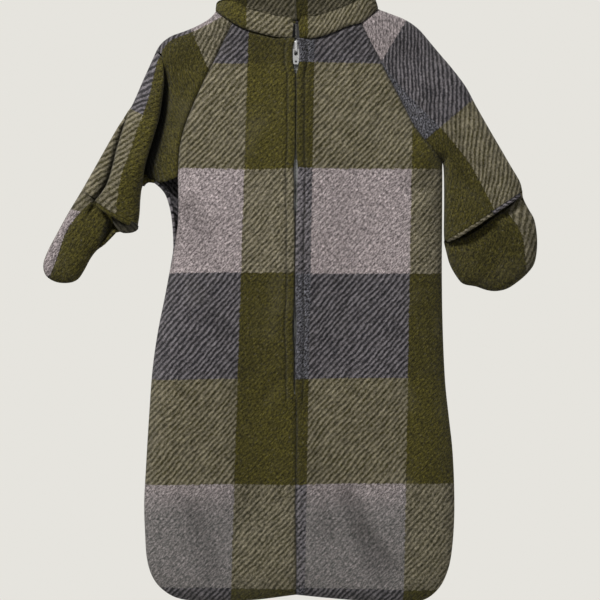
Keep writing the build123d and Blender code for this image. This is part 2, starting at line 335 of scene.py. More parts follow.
def arm_layer_rise(points, layer):
    """The left sleeve lies in three layers: a turned strip, the flap in front, and the part in the fold."""
    d, s, run = distance(points, LEFT_FOLD)
    fold_side, fold_run = d * s, run
    d, s, run = distance(points, LEFT_CREASE)
    crease_side, crease_run = d * s, run
    if layer == "flap":
        deep = step01(fold_run, 0, 60)
        rolled = 1 - np.sqrt(1 - (1 - np.clip(-fold_side / 7.0, 0, 1)) ** 2)
        rise = deep * (4.5 * bell(fold_side, 22) - 7.5 * rolled * (points[:, 1] > -196))
        rolled = 1 - np.sqrt(1 - (1 - np.clip(crease_side / 4.5, 0, 1)) ** 2)
        return rise + step01(crease_run, 0, 22) * (5.0 * bell(crease_side, 30) - 6.5 * rolled)
    if layer == "inner":
        deep = step01(fold_run, 0, 55)
        beyond = np.maximum(fold_side, 0)
        return -deep * (11.0 * np.exp(-((beyond / 22) ** 1.5)) + 9.0 * bell(beyond, 4.5))
    beyond = np.maximum(-crease_side, 0)
    sunk = 5.0 * bell(beyond, 12) + 7.0 * bell(beyond, 3.5)
    return -step01(crease_run, 0, 22) * sunk


def front_y(points, arm_layer=None):
    """The outer face of the front cloth."""
    x, z = points[:, 0], points[:, 1]
    out = cushion(points, SACK_DEPTH, ARM_DEPTH)
    free = step01(edge_distance(points), 0, 16)
    ripples = 0.9 * waves(points, 95, 1) + 0.35 * waves(points, 34, 2)
    out = out + free * (folds(points, FRONT_FOLDS) + ripples)
    out = out + 0.10 * waves(points, 7, 3)
    if arm_layer:
        out = out + arm_layer_rise(points, arm_layer)
    # Along the zip the edges are turned under and topstitched.
    gap = zip_gap(z)
    inward = np.maximum(np.abs(x - zip_middle(z)) - gap, 0)
    near = z > ZIP_END - 8
    share = step01(z, ZIP_END - 26, ZIP_END + 8)
    out = out + share * ZIP_PUFF * bell(inward, 17.0)
    lifted = np.exp(-(((z - SLIDER_LOW[2] - 4) / 17) ** 4))
    out = out + SLIDER_LIFT * lifted * bell(inward, 9.0)
    roll = 1 - np.sqrt(1 - (1 - np.minimum(inward / EDGE_RADIUS, 1)) ** 2)
    out = out - np.where(near, EDGE_ROLL * roll, 0)
    out = out + np.where(near, 0.5 * bell(inward - 4.8, 2.6), 0)
    out = out - np.where(near, STITCH_DIP * bell(inward - STITCH_LINE, 1.1), 0)
    out = out + np.where(near, 0.5 * bell(inward - STITCH_LINE - 3.4, 2.2), 0)
    out = out - (1 - share) * CENTRE_DIP * bell(x, 2.2)
    return -(out - seam_dip(points, FRONT_SEAMS))


def back_y(points):
    """The outer face of the back cloth."""
    nape = step01(points[:, 1], -90, -20) * (np.abs(points[:, 0]) < 60)
    out = cushion(points, SACK_DEPTH, ARM_DEPTH) + 2.2 * nape * (1 - step01(np.abs(points[:, 0]), 25, 60))
    free = step01(edge_distance(points), 0, 16)
    ripples = 1.1 * waves(points, 110, 4) + 0.35 * waves(points, 36, 5)
    out = out + free * (folds(points, BACK_FOLDS) + ripples)
    out = out + 0.10 * waves(points, 7, 6)
    return out - seam_dip(points, BACK_SEAMS)


# ---- Meshes ----
def inside(points, loop):
    """Which points lie in the closed polygon."""
    x, z = points[:, 0], points[:, 1]
    result = np.zeros(len(points), bool)
    for (x0, z0), (x1, z1) in zip(loop, np.roll(loop, -1, axis=0)):
        crosses = (z0 > z) != (z1 > z)
        at = (x1 - x0) * (z - z0) / (z1 - z0 + 1e-12) + x0
        result ^= crosses & (x < at)
    return result


def join_curves(*curves):
    """One closed loop from curves that run on from each other."""
    loop = [curves[0]]
    for c in curves[1:]:
        loop.append(c[1:] if np.allclose(c[0], loop[-1][-1], atol=0.01) else c)
    loop = np.vstack(loop)
    return loop[:-1] if np.allclose(loop[0], loop[-1], atol=0.01) else loop


RING_OFFSETS = (0.5, 1.4, 3.0, 5.4, 8.6)
SEAM_OFFSETS = (0.9, 2.0, 3.4, 5.2)
ZIP_OFFSETS = (0.5, 1.2, 2.2, 3.4, 4.8, 6.4, 7.7, 8.4, 9.0, 9.6, 10.4, 12.0)
CENTRE_SEAM = smooth_curve([(0, ZIP_END), (0.6, -470), (-0.6, -540), (0.4, -600), (0, -641)])


def beside(lines, offsets):
    """Rows of points on both sides of each line, as (points, offset, gap to keep from others)."""
    rows = []
    for line in lines:
        normal = np.gradient(line, axis=0)
        normal = np.stack([-normal[:, 1], normal[:, 0]], axis=1)
        normal /= np.linalg.norm(normal, axis=1)[:, None]
        for k, off in enumerate(offsets):
            keep = 0.45 * (off - (offsets[k - 1] if k else 0))
            rows += [(line + normal * off, off, keep), (line - normal * off, off, keep)]
    return rows


RINGS = [(p[edge_distance(p) > off * 0.9], keep) for p, off, keep in beside(SILHOUETTE, RING_OFFSETS)]
SEAM_LINES = FRONT_SEAMS + BACK_SEAMS + [CENTRE_SEAM, LEFT_FOLD, LEFT_CREASE]
RINGS += [(LEFT_TURN, 0.3)]
BEND_LINES = [LEFT_TURN, LEFT_LOBE, smooth_curve(LEFT_CUFF), smooth_curve(RIGHT_HEM)]
RINGS += [(p, keep) for p, off, keep in beside(SEAM_LINES + BEND_LINES, SEAM_OFFSETS)]


def fill_points(loop, spacing, zip_side):
    """Points inside the loop: rows along the outline, seams and zip, and a hexagonal grid."""
    low, high = loop.min(0), loop.max(0)
    chosen = [loop]
    for pts, keep in RINGS:
        pts = pts[((pts > low) & (pts < high)).all(axis=1)]
        pts = pts[inside(pts, loop)]
        chosen.append(pts[clear_of(pts, chosen, keep)])
    if zip_side:
        z = np.arange(-33.0, ZIP_END - 10, -3.0)
        for k, off in enumerate(ZIP_OFFSETS):
            keep = 0.45 * (off - (ZIP_OFFSETS[k - 1] if k else 0))
            pts = np.stack([zip_middle(z) + zip_side * (zip_gap(z) + off), z], axis=1)
            pts = pts[inside(pts, loop)]
            chosen.append(pts[clear_of(pts, chosen, min(keep, 0.5))])
    grid = []
    for k, z in enumerate(np.arange(low[1], high[1], spacing * 0.866)):
        xs = np.arange(low[0] + (k % 2) * spacing / 2, high[0], spacing)
        grid.append(np.stack([xs, np.full(len(xs), z)], axis=1))
    grid = np.vstack(grid)
    grid = grid[inside(grid, loop)]
    chosen.append(grid[clear_of(grid, chosen, spacing * 0.55)])
    return np.vstack(chosen)


def clear_of(points, groups, gap):
    """Which points are further than gap from every chosen point."""
    if not len(points):
        return np.zeros(0, bool)
    others = np.vstack(groups)
    tree = KDTree(len(others))
    for k, (x, z) in enumerate(others):
        tree.insert((x, z, 0), k)
    tree.balance()
    return np.array([tree.find((x, z, 0))[2] > gap for x, z in points])


def triangulate(loop, spacing=5.0, zip_side=0):
    """(points, triangles) of the region inside the loop."""
    points = fill_points(loop, spacing, zip_side)
    n = len(loop)
    edges = [(k, (k + 1) % n) for k in range(n)]
    result = delaunay_2d_cdt([Vector(p) for p in points], edges, [], 1, 1e-6)
    verts = np.array([tuple(v) for v in result[0]])
    faces = [f for f in result[2] if len(f) == 3]
    middles = np.array([verts[list(f)].mean(0) for f in faces])
    keep = inside(middles, loop)
    return verts, [tuple(f) for f, k in zip(faces, keep) if k]


def to_mesh(name, verts, faces, uv=None, face_uv=None, smooth=True):
    """An object from vertices in millimetres. uv is per vertex; face_uv is per face corner."""
    mesh = bpy.data.meshes.new(name)
    mesh.from_pydata([tuple(v) for v in np.asarray(verts) * MM], [], [tuple(f) for f in faces])
    mesh.validate()
    if uv is not None or face_uv is not None:
        layer = mesh.uv_layers.new(name="cloth")
        if face_uv is not None:
            values = np.array([corner for face in face_uv for corner in face])
        else:
            corners = np.zeros(len(mesh.loops), int)
            mesh.loops.foreach_get("vertex_index", corners)
            values = np.array(uv)[corners]
        layer.data.foreach_set("uv", (values * MM).ravel())
    mesh.polygons.foreach_set("use_smooth", [smooth] * len(mesh.polygons))
    obj = bpy.data.objects.new(name, mesh)
    bpy.context.scene.collection.objects.link(obj)
    return obj


def apply_modifiers(obj):
    deps = bpy.context.evaluated_depsgraph_get()
    mesh = bpy.data.meshes.new_from_object(
        obj.evaluated_get(deps), preserve_all_data_layers=True, depsgraph=deps
    )
    obj.modifiers.clear()
    obj.data = mesh


def thicken(obj, inward, thickness=CLOTH):
    """Gives the cloth its thickness, away from the outer face."""
    solid = obj.modifiers.new("thickness", "SOLIDIFY")
    solid.thickness = thickness * MM
    solid.offset = inward
    solid.use_even_offset = False
    solid.use_quality_normals = True
    apply_modifiers(obj)
    obj.data.polygons.foreach_set("use_smooth", [True] * len(obj.data.polygons))


def seam_shade(points):
    """Painted shade: darker along the seams, in the hollows of the folds, in the topstitching beside the
    zip, along the centre seam below it and towards the neck.
    """
    near = np.min([distance(points, line)[0] for line in FRONT_SEAMS], axis=0)
    shade = 0.26 * bell(near, 1.5)
    hollow = 0.34 * np.clip(-folds(points, FRONT_FOLDS) / 4.6, 0, 1)
    x, z = points[:, 0], points[:, 1]
    inward = np.abs(x - zip_middle(z)) - zip_gap(z)
    stitched = 0.36 * bell(inward - STITCH_LINE, 0.9) * (z > ZIP_END)
    stitched = stitched * np.where(x < 0, 1.0, 0.45)
    centre = 0.55 * bell(np.abs(x), 1.3) * (z < ZIP_END)
    neck = 0.26 * step01(z, -72, -34)
    return np.max([shade, hollow, stitched, centre, neck], axis=0)


def inner_shade(points):
    """Painted shade where the shoulder of the left sleeve goes down into a deep fold."""
    d, s, run = distance(points, LEFT_FOLD)
    beyond = np.maximum(d * s, 0)
    low = step01(run, 30, 110)
    deep = 0.90 * bell(beyond, 4.0 + 7.0 * low) + 0.34 * low * bell(beyond, 24)
    return np.maximum(step01(run, 0, 22) * np.minimum(deep, 0.92), seam_shade(points))


# Painted shade along the crease between the flap and the turned strip of the left sleeve.
def strip_shade(points):
    d, _, run = distance(points, LEFT_CREASE)
    return 0.75 * step01(run, 0, 16) * bell(d, 3.6)


def mitten_shade(points):
    """Painted shade: the mittens darken under the sleeve hems, beside the thumb of the left one and along
    its turned edge, and a little all over.
    """
    under = np.min([distance(points, smooth_curve(hem))[0] for hem in (LEFT_HEM, RIGHT_HEM)], axis=0)
    d, s, _ = distance(points, LEFT_LOBE)
    thumb = step01(d * s, -1.5, 2.0) * (points[:, 0] < 0) * (d < 30)
    turn = 0.35 * bell(distance(points, LEFT_TURN)[0], 1.6)
    under = np.maximum(0.8 * bell(under, 6.5), 0.13)
    return np.maximum(under, np.maximum(0.62 * thumb, turn))


def set_shade(obj, values):
    """Stores the painted shade at each vertex, for the fleece material."""
    obj.data.attributes.new("shade", "FLOAT", "POINT").data.foreach_set("value", values)


def cloth_piece(
    name, curves, height, uv_of, spacing=4.0, zip_side=0, front=True, face_uv_of=None, shade=None
):
    """A panel of fleece over the region bounded by the curves, with its outer face at height(points)."""
    loop = join_curves(*curves)
    points, faces = triangulate(loop, spacing, zip_side)
    y = height(points)
    verts = np.stack([points[:, 0], y, points[:, 1]], axis=1)
    turned = []
    for a, b, c in faces:
        cross = np.cross(points[b] - points[a], points[c] - points[a])
        outward = cross > 0 if front else cross < 0
        turned.append((a, b, c) if outward else (a, c, b))
    u, v = uv_of(points)
    uv = np.stack([u, v], axis=1)
    face_uv = face_uv_of(points, turned, uv) if face_uv_of else None
    obj = to_mesh(name, verts, turned, uv=uv, face_uv=face_uv)
    if shade:
        set_shade(obj, shade(points))
    thicken(obj, -1)
    return obj


# ---- Plaid layout: u runs along the weft, v down the warp, in bands of these widths ----
WARP_BAND = 108.0
WEFT_BAND = 115.0
FIRST_WEFT = 58.0


def uv_sack_left(p):
    return p[:, 0] + 162 + 0.032 * (-p[:, 1] - 100), -p[:, 1] - FIRST_WEFT + 1.5 * waves(p, 240, 20)


def uv_sack_right(p):
    return p[:, 0] - 20 + 0.018 * (-p[:, 1] - 60), -p[:, 1] - FIRST_WEFT + 1.5 * waves(p, 240, 21)


def uv_sack_back(p):
    return -(p[:, 0] - 108), -p[:, 1] - FIRST_WEFT + 22


def line_side(p, point, direction):
    """Signed distance from a line, positive down the sleeve."""
    d = np.array(direction, float) / np.linalg.norm(direction)
    normal = np.array([-d[1], d[0]])
    if normal[1] > 0:
        normal = -normal
    return (p - np.array(point, float)) @ normal


def sleeve_uv(p, lines, column, column_u, first_v):
    """u from the distance to the column line, v from where the point lies between the three weft lines."""
    d1, d2, d3 = (line_side(p, *line) for line in lines)
    t = np.where(d1 < 0, d1 / WEFT_BAND, np.where(d2 < 0, d1 / np.maximum(d1 - d2, 1e-6), 0))
    t = np.where(d2 >= 0, np.where(d3 < 0, 1 + d2 / np.maximum(d2 - d3, 1e-6), 2 + d3 / WEFT_BAND), t)
    d, s, _ = distance(p, column)
    return column_u + d * s, first_v + WEFT_BAND * t


RIGHT_LINES = [((108, -32), (0.52, 0.85)), ((180, -109), (0.76, 0.64)), ((209, -226), (0.84, 0.54))]
RIGHT_COLUMN = smooth_curve([(60, 6), (103, -70), (161, -132), (190, -168), (213, -211), (222, -232)])
LEFT_LINES = [((-107, -39), (0.40, -0.91)), ((-172, -112), (0.90, -0.44)), ((-244, -218), (0.93, -0.36))]
LEFT_COLUMN = [
    (-74, -3), (-111, -22), (-139, -34), (-150, -52), (-155, -69), (-160, -93), (-166, -112),
    (-174, -133), (-181, -155), (-189, -177), (-194, -199), (-196, -216),
]
LEFT_COLUMN = smooth_curve(LEFT_COLUMN)


def uv_sleeve_right(p):
    return sleeve_uv(p, RIGHT_LINES, RIGHT_COLUMN, 0, 2 * WEFT_BAND)


def uv_sleeve_left(p):
    return sleeve_uv(p, LEFT_LINES, LEFT_COLUMN, WARP_BAND, 2 * WEFT_BAND)


def uv_shoulder_left(p):
    u, v = uv_sleeve_left(p)
    return u + 10 * REPEAT, v


def uv_mitten_right(p):
    d, s, _ = distance(p, smooth_curve([(222, -190), (231, -218), (247, -245), (253, -285)]))
    return d * s, 3 * WEFT_BAND + 8 + 0.8 * (-p[:, 1] - 190)


def uv_mitten_left(p):
    return 1.5 * WARP_BAND + 0.9 * (p[:, 0] + 240), 3 * WEFT_BAND + 8 + 0.9 * (-p[:, 1] - 190)


def uv_mitten_left_faces(points, faces, uv):
    """The outer strip is the back cloth turned to the front, grey; the pouch is olive."""
    arm = np.stack(uv_sleeve_left(points), axis=1)
    rows = []
    for f in faces:
        middle = points[list(f)].mean(0)[None]
        _, side, _ = distance(middle, LEFT_TURN)
        if side[0] < 0 and middle[0][1] > -219:
            rows.append([tuple(arm[i]) for i in f])
            continue
        shift = (-1.0 * WARP_BAND, 1.15 * WEFT_BAND) if side[0] < 0 else (0, 0)
        rows.append([(uv[i][0] + shift[0], uv[i][1] + shift[1]) for i in f])
    return rows


# ---- Materials ----
class Nodes:
    """A new material with short ways to add and join nodes."""

    def __init__(self, name):
        self.mat = bpy.data.materials.new(name)
        self.mat.use_nodes = True
        self.tree = self.mat.node_tree
        self.tree.nodes.clear()
        self.out = self.tree.nodes.new("ShaderNodeOutputMaterial")
        self.bsdf = self.tree.nodes.new("ShaderNodeBsdfPrincipled")
        self.tree.links.new(self.bsdf.outputs[0], self.out.inputs["Surface"])

    def put(self, socket, value):
        if isinstance(value, bpy.types.NodeSocket):
            self.tree.links.new(value, socket)
        else:
            socket.default_value = value

    def math(self, operation, a, b=0.0, c=0.0):
        node = self.tree.nodes.new("ShaderNodeMath")
        node.operation = operation
        for socket, value in zip(node.inputs, (a, b, c)):
            self.put(socket, value)
        return node.outputs[0]

    def times(self, a, b):
        return self.math("MULTIPLY", a, b)

    def plus(self, a, b):
        return self.math("ADD", a, b)

    def minus(self, a, b):
        return self.math("SUBTRACT", a, b)

    def mix(self, factor, a, b):
        node = self.tree.nodes.new("ShaderNodeMix")
        node.data_type = "RGBA"
        self.put(node.inputs[0], factor)
        self.put(node.inputs[6], a)
        self.put(node.inputs[7], b)
        return node.outputs[2]

    def noise(self, vector, scale, detail=2.0, rough=0.5):
        node = self.tree.nodes.new("ShaderNodeTexNoise")
        self.put(node.inputs["Vector"], vector)
        node.inputs["Scale"].default_value = scale
        node.inputs["Detail"].default_value = detail
        node.inputs["Roughness"].default_value = rough
        return node.outputs[0]

    def smooth(self, value, low, high):
        node = self.tree.nodes.new("ShaderNodeMapRange")
        node.interpolation_type = "SMOOTHSTEP"
        self.put(node.inputs[0], value)
        node.inputs[1].default_value = low
        node.inputs[2].default_value = high
        return node.outputs[0]

    def uv(self):
        node = self.tree.nodes.new("ShaderNodeUVMap")
        node.uv_map = "cloth"
        return node.outputs[0]

    def place(self):
        return self.tree.nodes.new("ShaderNodeTexCoord").outputs["Object"]

    def split(self, vector):
        node = self.tree.nodes.new("ShaderNodeSeparateXYZ")
        self.put(node.inputs[0], vector)
        return node.outputs

    def bump(self, height, strength, distance_m):
        node = self.tree.nodes.new("ShaderNodeBump")
        node.inputs["Strength"].default_value = strength
        node.inputs["Distance"].default_value = distance_m
        self.put(node.inputs["Height"], height)
        self.put(self.bsdf.inputs["Normal"], node.outputs[0])

    def set(self, **values):
        for key, value in values.items():
            self.put(self.bsdf.inputs[key.replace("_", " ")], value)


def rgb(red, green, blue):
    """Linear colour from 0-255 screen values."""
    shares = [v / 255 for v in (red, green, blue)]
    linear = [((v + 0.055) / 1.055) ** 2.4 if v > 0.0393 else v / 12.92 for v in shares]
    return tuple(linear) + (1,)


OLIVE_DARK, OLIVE_PALE = rgb(42, 38, 6), rgb(114, 107, 48)
NAVY_DARK, NAVY_PALE = rgb(14, 13, 20), rgb(150, 150, 160)
GREY_DARK, GREY_PALE = rgb(108, 99, 102), rgb(240, 226, 228)
PALE_STRIPE = rgb(135, 132, 139)
KHAKI = rgb(160, 153, 120)
STRIPE_SHADOW = rgb(60, 56, 34)
TWILL_PITCH = 0.0065  # metres along u between two twill stripes
TWILL_RISE = 1.13  # how steeply the twill climbs
REPEAT = 3 * WARP_BAND  # of the plaid along u
MIRROR_FROM = 2000.0  # beyond this u the cloth shows its other face, where the twill climbs the other way


def plaid_material():
    n = Nodes("plaid_fleece")
    uv = n.uv()
    u, v, _ = n.split(uv)
    place = n.place()

    def around(noise, size):
        return n.times(n.minus(noise, 0.5), size)

    def bands(coordinate, width):
        """0 to 3 over three bands, then again."""
        ragged = n.plus(coordinate, around(n.noise(uv, 420, 1), 0.0042))
        return n.times(n.math("FRACT", n.math("DIVIDE", ragged, 3 * width * MM)), 3.0)

    # Short streaks lie along the twill.
    hand = n.math("MULTIPLY_ADD", n.math("GREATER_THAN", u, MIRROR_FROM * MM), -2.0, 1.0)
    across = n.math("MULTIPLY_ADD", n.times(v, hand), 1 / TWILL_RISE, u)
    along = n.math("MULTIPLY_ADD", n.times(u, hand), -1 / TWILL_RISE, v)
    slant = n.tree.nodes.new("ShaderNodeCombineXYZ")
    n.put(slant.inputs[0], across)
    n.put(slant.inputs[1], n.times(along, 0.42))
    streak = n.noise(slant.outputs[0], 640, 3, 0.65)
    mottle = n.smooth(streak, 0.33, 0.67)
    olive = n.mix(mottle, OLIVE_DARK, OLIVE_PALE)
    navy = n.mix(n.smooth(streak, 0.40, 0.64), NAVY_DARK, NAVY_PALE)
    grey = n.mix(mottle, GREY_DARK, GREY_PALE)

    # u: grey, olive, navy in turn to the right; v: olive, grey, navy in turn downwards.
    warp, weft = bands(u, WARP_BAND), bands(v, WEFT_BAND)
    warp_grey = n.math("LESS_THAN", warp, 1.0)
    warp_navy = n.math("GREATER_THAN", warp, 2.0)
    weft_olive = n.math("LESS_THAN", weft, 1.0)
    weft_navy = n.math("GREATER_THAN", weft, 2.0)
    warp_colour = n.mix(warp_navy, n.mix(warp_grey, olive, grey), navy)
    weft_colour = n.mix(weft_navy, n.mix(weft_olive, grey, olive), navy)

    sway = n.plus(around(n.noise(uv, 20, 1), 0.011), around(n.noise(uv, 150, 2), 0.0042))
    sway = n.plus(sway, around(n.noise(uv, 620, 1), 0.0016))
    phase = n.math("FRACT", n.math("DIVIDE", n.plus(across, sway), TWILL_PITCH))
    stripe = n.smooth(n.math("PINGPONG", phase, 0.5), 0.14, 0.36)
    # Brushing mixes the two yarns, and the darker one shows more.
    share = n.math("MULTIPLY_ADD", stripe, 0.62, 0.22)
    share = n.plus(share, around(streak, 2.3))
    share = n.plus(share, around(n.noise(place, 420, 3, 0.7), 1.3))
    share = n.plus(share, around(n.noise(slant.outputs[0], 95, 2), 0.8))
    share = n.math("MINIMUM", n.math("MAXIMUM", share, 0.0), 1.0)
    base = n.mix(share, warp_colour, weft_colour)
    either_navy = n.math("MAXIMUM", warp_navy, weft_navy)
    both_navy = n.times(warp_navy, weft_navy)
    weft_grey = n.minus(n.minus(1.0, weft_olive), weft_navy)
    either_grey = n.math("MAXIMUM", warp_grey, weft_grey)
    navy_grey = n.times(either_navy, either_grey)
    crisp = n.smooth(share, 0.08, 0.80)
    warp_stripe = n.mix(warp_navy, PALE_STRIPE, NAVY_DARK)
    weft_stripe = n.mix(weft_navy, PALE_STRIPE, NAVY_DARK)
    base = n.mix(n.times(navy_grey, 0.80), base, n.mix(crisp, warp_stripe, weft_stripe))
    both_grey = n.times(warp_grey, weft_grey)
    one_grey = n.minus(either_grey, both_grey)
    olive_grey = n.times(one_grey, n.minus(1.0, either_navy))
    warp_khaki = n.mix(warp_grey, STRIPE_SHADOW, KHAKI)
    light_stripe = n.mix(share, warp_khaki, n.mix(weft_grey, STRIPE_SHADOW, KHAKI))
    base = n.mix(n.times(olive_grey, 0.78), base, light_stripe)
    # Where navy crosses olive the olive pile covers it.
    neither = n.minus(1.0, n.math("MAXIMUM", either_grey, both_navy))
    olive_navy = n.times(either_navy, neither)
    covered = n.mix(n.math("MULTIPLY_ADD", stripe, 0.10, 0.12), olive, NAVY_DARK)
    base = n.mix(olive_navy, base, covered)
    # Brushed pile: pale lint, short shadows between tufts, and paler wear in broad random patches.
    fleck = n.smooth(n.noise(place, 1400, 2, 0.7), 0.58, 0.80)
    base = n.mix(n.times(fleck, 0.12), base, rgb(150, 146, 136))
    tuft = n.noise(place, 620, 4, 0.75)
    shade = n.smooth(tuft, 0.30, 0.60)
    base = n.mix(n.times(n.minus(1.0, shade), 0.5), base, rgb(20, 19, 14))
    worn = n.smooth(n.noise(place, 26, 3, 0.5), 0.50, 0.78)
    base = n.mix(n.times(worn, 0.06), base, rgb(170, 164, 156))
    cloud = n.smooth(n.noise(slant.outputs[0], 230, 3, 0.65), 0.36, 0.58)
    base = n.mix(n.times(n.minus(1.0, cloud), 0.42), base, rgb(24, 23, 22))
    glint = n.smooth(n.noise(slant.outputs[0], 480, 2, 0.6), 0.60, 0.74)
    base = n.mix(n.times(glint, 0.16), base, rgb(196, 190, 180))
    # Painted shade: the cloth darkens towards the foot of the bag, most on the grey squares.
    painted_foot_shade = n.smooth(n.times(n.split(place)[2], -1.0), 0.50, 0.56)
    painted_foot_shade = n.times(painted_foot_shade, n.math("MULTIPLY_ADD", both_grey, 0.40, 0.04))
    base = n.mix(painted_foot_shade, base, rgb(40, 66, 58))
    # Painted shade from the per-vertex shade attribute darkens seams, folds, creases and hems.
    painted_shade_attribute = n.tree.nodes.new("ShaderNodeAttribute")
    painted_shade_attribute.attribute_name = "shade"
    base = n.mix(n.math("MINIMUM", painted_shade_attribute.outputs["Fac"], 0.95), base, rgb(10, 10, 8))
    n.set(Base_Color=base, Roughness=0.95)
    n.bsdf.inputs["Sheen Weight"].default_value = 0.10
    n.bsdf.inputs["Sheen Roughness"].default_value = 0.5
    n.bsdf.inputs["Specular IOR Level"].default_value = 0.1
    pile = n.plus(tuft, n.times(n.noise(place, 1500, 2, 0.6), 0.4))
    pile = n.plus(pile, n.times(n.noise(place, 240, 3, 0.6), 0.9))
    pile = n.plus(pile, n.times(stripe, 0.35))
    n.bump(pile, 0.8, 0.002)
    return n.mat


def woven_material(name, tint, pitch=0.0011, sheen=0.1):
    """A narrow woven tape or label: fine herringbone ribs in one tint, with painted shade in the troughs
    between them.
    """
    n = Nodes(name)
    place = n.place()
    x, _, z = n.split(place)
    rib = n.math("SINE", n.times(n.plus(n.math("ABSOLUTE", x), z), 2 * math.pi / pitch))
    height = n.math("MULTIPLY_ADD", rib, 0.5, n.noise(place, 1800, 2))
    # Painted shade: a darker copy of the tint fills the troughs of the ribs.
    dark = tuple(0.55 * c for c in tint[:3]) + (1,)
    n.set(Base_Color=n.mix(n.smooth(height, 0.2, 1.0), dark, tint), Roughness=0.85)
    n.bsdf.inputs["Sheen Weight"].default_value = sheen
    n.bump(height, 0.5, 0.0003)
    return n.mat


def metal_material():
    n = Nodes("nickel")
    place = n.place()
    scuff = n.smooth(n.noise(place, 420, 4, 0.7), 0.45, 0.75)
    tint = n.mix(scuff, rgb(232, 233, 234), rgb(176, 176, 176))
    n.set(Base_Color=tint, Metallic=0.7, Roughness=n.math("MULTIPLY_ADD", scuff, 0.22, 0.26))
    n.bump(n.noise(place, 700, 3, 0.6), 0.15, 0.0002)
    return n.mat


def enamel_material():
    n = Nodes("dark_enamel")
    worn = n.smooth(n.noise(n.place(), 900, 3, 0.6), 0.55, 0.8)
    n.set(Base_Color=n.mix(worn, rgb(44, 44, 45), rgb(96, 96, 97)), Metallic=0.3, Roughness=0.5)
    n.bump(worn, 0.2, 0.0001)
    return n.mat


def coil_material():
    n = Nodes("coil_yarn")
    place = n.place()
    grain = n.noise(place, 1500, 3, 0.6)
    n.set(Base_Color=n.mix(grain, rgb(150, 152, 152), rgb(226, 228, 227)), Roughness=0.45)
    n.bsdf.inputs["Specular IOR Level"].default_value = 0.4
    n.bump(grain, 0.3, 0.0002)
    return n.mat


FLEECE = plaid_material()
TAPE = woven_material("tape_weave", rgb(60, 60, 62))
LABEL = woven_material("label_weave", rgb(222, 219, 210), 0.0007)
THREAD = woven_material("sewing_thread", rgb(58, 55, 36), 0.0006, 0.3)
METAL = metal_material()
ENAMEL = enamel_material()
COIL = coil_material()


def dress(obj, material):
    obj.data.materials.clear()
    obj.data.materials.append(material)
    return obj


def in_fleece(obj):
    return dress(obj, FLEECE)


def folds_open(obj):
    """Bakes the object's placement into its mesh."""
    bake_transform(obj)


def zip_edge(sign):
    z = np.arange(-31.5, ZIP_END, -3.0)
    edge = np.stack([zip_middle(z) + sign * zip_gap(z), z], axis=1)
    return np.vstack([edge, [(0, ZIP_END)]])


ZIP_LINE = {"left": zip_edge(-1), "right": zip_edge(1)}
COLLAR_LOW = {"left": smooth_curve(COLLAR_SEAM_LEFT), "right": smooth_curve(COLLAR_SEAM_RIGHT)}
BACK_COLLAR_LOW = smooth_curve(COLLAR_SEAM_BACK)


def build_fronts():
    start = RAGLAN["left"][0]
    low = COLLAR_LOW["left"]
    low = low[low[:, 0] > start[0] + 1.5]
    left_part = [np.vstack([start[None], low]), ZIP_LINE["left"], CENTRE_SEAM[1:]]
    left_part += [backwards(LEFT_SACK), backwards(SIDE_SEAM_LEFT)]
    left_part += [RAGLAN["left"][::-1][1:]]
    name = "front_left_cloth"
    left = cloth_piece(name, left_part, front_y, uv_sack_left, zip_side=-1, shade=seam_shade)
    low = COLLAR_LOW["right"]
    end = RAGLAN["right"][0]
    low = low[low[:, 0] < end[0] - 1.5]
    right_part = [RAGLAN["right"], backwards(RIGHT_SACK), CENTRE_SEAM[::-1][1:]]
    right_part += [ZIP_LINE["right"][::-1][1:], np.vstack([low, end[None]])[1:]]
    name = "front_right_cloth"
    right = cloth_piece(name, right_part, front_y, uv_sack_right, zip_side=1, shade=seam_shade)
    for obj, side, sign in ((left, "left", -1), (right, "right", 1)):
        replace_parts(in_fleece(obj), f"front_{side}_panel", f"front_{side}_edge")
        folds_open(obj)


def build_back():
    neck = neck_part(BACK_COLLAR_LOW, -71, 73)[1:-1]
    curves = [np.vstack([[BACK_RAGLAN_LEFT[0]], neck, [BACK_RAGLAN_RIGHT[0]]])]
    curves += [smooth_curve(BACK_RAGLAN_RIGHT)[1:], backwards(RIGHT_SACK)]
    curves += [backwards(LEFT_SACK), backwards(LEFT_SIDE)]
    curves += [backwards(BACK_RAGLAN_LEFT)]
    back = cloth_piece("back_cloth", curves, back_y, uv_sack_back, spacing=5, front=False)
    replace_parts(in_fleece(back), "back_panel")
    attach(back, "bag")


def neck_part(line, low, high):
    """The part of a collar seam between two places along x."""
    return line[(line[:, 0] > low) & (line[:, 0] < high)]


